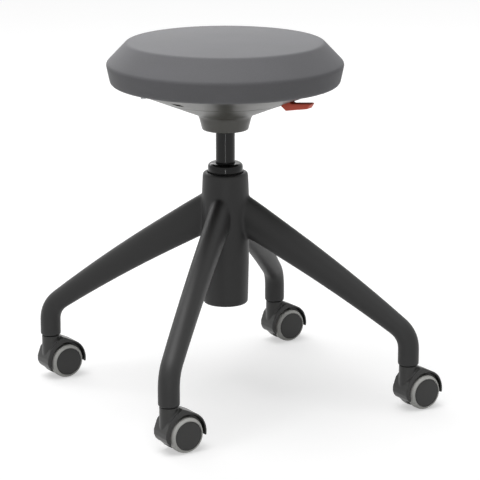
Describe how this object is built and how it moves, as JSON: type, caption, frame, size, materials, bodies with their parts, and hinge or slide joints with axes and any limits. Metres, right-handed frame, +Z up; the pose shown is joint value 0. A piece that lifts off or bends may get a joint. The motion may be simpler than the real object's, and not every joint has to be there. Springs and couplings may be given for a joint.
{
  "type": "wobble stool",
  "caption": "Height-adjustable wobble stool: round foam seat tilting on a rubber joint, gas column with a side lever, and a star base on hooded, unbraked castors.",
  "frame": {"origin": "on the floor, under the middle of the stool's outline, with the column's axis 14.9 mm from it towards -X", "axes": "+Z up along the column; the castors trail 3.3 degrees from +X; the legs lie at 45, 135, 225 and 315 degrees; the lever points 60 degrees from +X towards -Y"},
  "size_m": [0.4593, 0.435, 0.5341],
  "materials": {
    "base_black": "satin",
    "black_steel": "satin",
    "gloss_black_plastic": "gloss",
    "bright_steel": "satin",
    "dark_rubber": "matte",
    "grey_foam": "matte",
    "grey_plastic": "satin",
    "dark_plastic": "satin",
    "grey_tyre": "matte",
    "red_plastic": "satin",
    "plywood": "matte"
  },
  "bodies": {
    "base": {"star_base": "base_black", "column_tube": "black_steel", "guide_bush": "gloss_black_plastic", "lower_washer": "bright_steel", "thrust_bearing": "bright_steel", "castor_stem_1": "bright_steel", "castor_stem_2": "bright_steel", "castor_stem_3": "bright_steel", "castor_stem_4": "bright_steel"},
    "rod": {"piston_rod": "bright_steel", "rod_clip": "bright_steel", "upper_washer": "bright_steel", "bump_stop": "dark_rubber", "piston_head": "dark_plastic"},
    "gas_cylinder": {"gas_cylinder": "black_steel", "cylinder_gland": "dark_plastic", "taper_socket": "black_steel"},
    "valve": {"valve_button": "bright_steel"},
    "wobble_ring": {"rubber_ring": "dark_rubber"},
    "seat": {"top_plate": "black_steel", "seat_board": "plywood", "seat_pad": "grey_foam", "under_shell": "grey_plastic", "plate_screw_1": "bright_steel", "plate_screw_2": "bright_steel", "plate_screw_3": "bright_steel", "plate_screw_4": "bright_steel", "shell_screw_1": "bright_steel", "shell_screw_2": "bright_steel", "shell_screw_3": "bright_steel", "lever_bracket": "black_steel", "lever_pin": "bright_steel"},
    "lever": {"lever_arm": "bright_steel", "lever_paddle": "red_plastic"},
    "castor_1": {"castor_hood_1": "dark_plastic", "castor_axle_1": "bright_steel"},
    "castor_2": {"castor_hood_2": "dark_plastic", "castor_axle_2": "bright_steel"},
    "castor_3": {"castor_hood_3": "dark_plastic", "castor_axle_3": "bright_steel"},
    "castor_4": {"castor_hood_4": "dark_plastic", "castor_axle_4": "bright_steel"},
    "wheel_1_left": {"wheel_rim_1_left": "dark_plastic", "wheel_tyre_1_left": "grey_tyre"},
    "wheel_1_right": {"wheel_rim_1_right": "dark_plastic", "wheel_tyre_1_right": "grey_tyre"},
    "wheel_2_left": {"wheel_rim_2_left": "dark_plastic", "wheel_tyre_2_left": "grey_tyre"},
    "wheel_2_right": {"wheel_rim_2_right": "dark_plastic", "wheel_tyre_2_right": "grey_tyre"},
    "wheel_3_left": {"wheel_rim_3_left": "dark_plastic", "wheel_tyre_3_left": "grey_tyre"},
    "wheel_3_right": {"wheel_rim_3_right": "dark_plastic", "wheel_tyre_3_right": "grey_tyre"},
    "wheel_4_left": {"wheel_rim_4_left": "dark_plastic", "wheel_tyre_4_left": "grey_tyre"},
    "wheel_4_right": {"wheel_rim_4_right": "dark_plastic", "wheel_tyre_4_right": "grey_tyre"}
  },
  "joints": [
    {"name": "seat_swivel", "type": "hinge", "parent": "base", "child": "rod", "pos_m": [-0.01491, 0, 0.15], "axis": [0, 0, 1], "continuous": true},
    {"name": "height_slide", "type": "slide", "parent": "rod", "child": "gas_cylinder", "axis": [0, 0, 1], "range_m": [-0.04, 0.08]},
    {"name": "tilt_x", "type": "hinge", "parent": "gas_cylinder", "child": "wobble_ring", "pos_m": [-0.01491, 0, 0.4442], "axis": [1, 0, 0], "range_deg": [-7, 7], "stiffness_Nm_per_rad": 400, "deforming": ["rubber_ring"]},
    {"name": "tilt_y", "type": "hinge", "parent": "wobble_ring", "child": "seat", "pos_m": [-0.01491, 0, 0.4442], "axis": [0, 1, 0], "range_deg": [-7, 7], "stiffness_Nm_per_rad": 400, "deforming": ["rubber_ring"]},
    {"name": "lever_lift", "type": "hinge", "parent": "seat", "child": "lever", "pos_m": [0.01709, -0.05543, 0.4593], "axis": [-0.866, -0.5, 0], "range_deg": [0, 4], "stiffness_Nm_per_rad": 1, "springref_deg": -8.59},
    {"name": "valve_press", "type": "slide", "parent": "gas_cylinder", "child": "valve", "axis": [0, 0, -1], "range_m": [0, 0.005]},
    {"name": "castor_swivel_1", "type": "hinge", "parent": "base", "child": "castor_1", "pos_m": [0.1806, 0.19551, 0.06], "axis": [0, 0, 1], "continuous": true},
    {"name": "castor_swivel_2", "type": "hinge", "parent": "base", "child": "castor_2", "pos_m": [-0.21043, 0.19551, 0.06], "axis": [0, 0, 1], "continuous": true},
    {"name": "castor_swivel_3", "type": "hinge", "parent": "base", "child": "castor_3", "pos_m": [-0.21043, -0.19551, 0.06], "axis": [0, 0, 1], "continuous": true},
    {"name": "castor_swivel_4", "type": "hinge", "parent": "base", "child": "castor_4", "pos_m": [0.1806, -0.19551, 0.06], "axis": [0, 0, 1], "continuous": true},
    {"name": "wheel_spin_1_left", "type": "hinge", "parent": "castor_1", "child": "wheel_1_left", "pos_m": [0.19982, 0.19662, 0.02568], "axis": [-0.0576, 0.9983, 0], "continuous": true},
    {"name": "wheel_spin_1_right", "type": "hinge", "parent": "castor_1", "child": "wheel_1_right", "pos_m": [0.19982, 0.19662, 0.02568], "axis": [-0.0576, 0.9983, 0], "continuous": true},
    {"name": "wheel_spin_2_left", "type": "hinge", "parent": "castor_2", "child": "wheel_2_left", "pos_m": [-0.19121, 0.19662, 0.02568], "axis": [-0.0576, 0.9983, 0], "continuous": true},
    {"name": "wheel_spin_2_right", "type": "hinge", "parent": "castor_2", "child": "wheel_2_right", "pos_m": [-0.19121, 0.19662, 0.02568], "axis": [-0.0576, 0.9983, 0], "continuous": true},
    {"name": "wheel_spin_3_left", "type": "hinge", "parent": "castor_3", "child": "wheel_3_left", "pos_m": [-0.19121, -0.19441, 0.02568], "axis": [-0.0576, 0.9983, 0], "continuous": true},
    {"name": "wheel_spin_3_right", "type": "hinge", "parent": "castor_3", "child": "wheel_3_right", "pos_m": [-0.19121, -0.19441, 0.02568], "axis": [-0.0576, 0.9983, 0], "continuous": true},
    {"name": "wheel_spin_4_left", "type": "hinge", "parent": "castor_4", "child": "wheel_4_left", "pos_m": [0.19982, -0.19441, 0.02568], "axis": [-0.0576, 0.9983, 0], "continuous": true},
    {"name": "wheel_spin_4_right", "type": "hinge", "parent": "castor_4", "child": "wheel_4_right", "pos_m": [0.19982, -0.19441, 0.02568], "axis": [-0.0576, 0.9983, 0], "continuous": true}
  ],
  "couplings": [
    {"joint": "valve_press", "follows": "lever_lift", "m_per_rad": 0.064}
  ]
}
